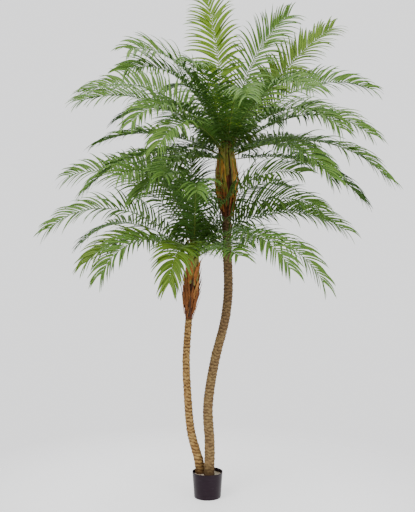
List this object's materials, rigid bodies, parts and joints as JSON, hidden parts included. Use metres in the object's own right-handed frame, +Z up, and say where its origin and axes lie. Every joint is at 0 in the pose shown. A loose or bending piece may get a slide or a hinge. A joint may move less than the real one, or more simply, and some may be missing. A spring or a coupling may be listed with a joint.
{
  "type": "artificial pygmy date palm in a nursery pot",
  "caption": "Tall artificial pygmy date palm: two curved ringed stems of unlike height with husk sheaths and arching feather fronds, cast in a small round black pot.",
  "frame": {"origin": "centre of the pot's flat underside, on the floor", "axes": "+Z up; +X to the right and +Y away from the front, with both stems side by side along X"},
  "size_m": [1.9795, 1.8531, 3.0419],
  "materials": {
    "pot_plastic": "semi-gloss black plastic",
    "cement": "rough pale cement",
    "tall_bark": "matte ringed brown bark",
    "short_bark": "matte ringed tan bark",
    "husk": "rough fibre",
    "tall_foliage": "matte green leaflets",
    "short_foliage": "matte green leaflets"
  },
  "bodies": {
    "root": {"pot": "pot_plastic", "pot_fill": "cement", "short_frond_01": "short_foliage", "short_frond_02": "short_foliage", "short_frond_03": "short_foliage", "short_frond_04": "short_foliage", "short_frond_05": "short_foliage", "short_frond_06": "short_foliage", "short_frond_07": "short_foliage", "short_frond_08": "short_foliage", "short_frond_09": "short_foliage", "short_frond_10": "short_foliage", "short_frond_11": "short_foliage", "short_frond_12": "short_foliage", "short_frond_13": "short_foliage", "short_frond_14": "short_foliage", "short_frond_15": "short_foliage", "short_frond_16": "short_foliage", "short_frond_17": "short_foliage", "short_frond_18": "short_foliage", "short_frond_19": "short_foliage", "short_frond_20": "short_foliage", "short_frond_21": "short_foliage", "short_frond_22": "short_foliage", "short_sheath": "husk", "short_stem": "short_bark", "tall_frond_01": "tall_foliage", "tall_frond_02": "tall_foliage", "tall_frond_03": "tall_foliage", "tall_frond_04": "tall_foliage", "tall_frond_05": "tall_foliage", "tall_frond_06": "tall_foliage", "tall_frond_07": "tall_foliage", "tall_frond_08": "tall_foliage", "tall_frond_09": "tall_foliage", "tall_frond_10": "tall_foliage", "tall_frond_11": "tall_foliage", "tall_frond_12": "tall_foliage", "tall_frond_13": "tall_foliage", "tall_frond_14": "tall_foliage", "tall_frond_15": "tall_foliage", "tall_frond_16": "tall_foliage", "tall_frond_17": "tall_foliage", "tall_frond_18": "tall_foliage", "tall_frond_19": "tall_foliage", "tall_frond_20": "tall_foliage", "tall_frond_21": "tall_foliage", "tall_frond_22": "tall_foliage", "tall_frond_23": "tall_foliage", "tall_frond_24": "tall_foliage", "tall_frond_25": "tall_foliage", "tall_frond_26": "tall_foliage", "tall_frond_27": "tall_foliage", "tall_frond_28": "tall_foliage", "tall_frond_29": "tall_foliage", "tall_frond_30": "tall_foliage", "tall_sheath": "husk", "tall_stem": "tall_bark"}
  },
  "joints": []
}
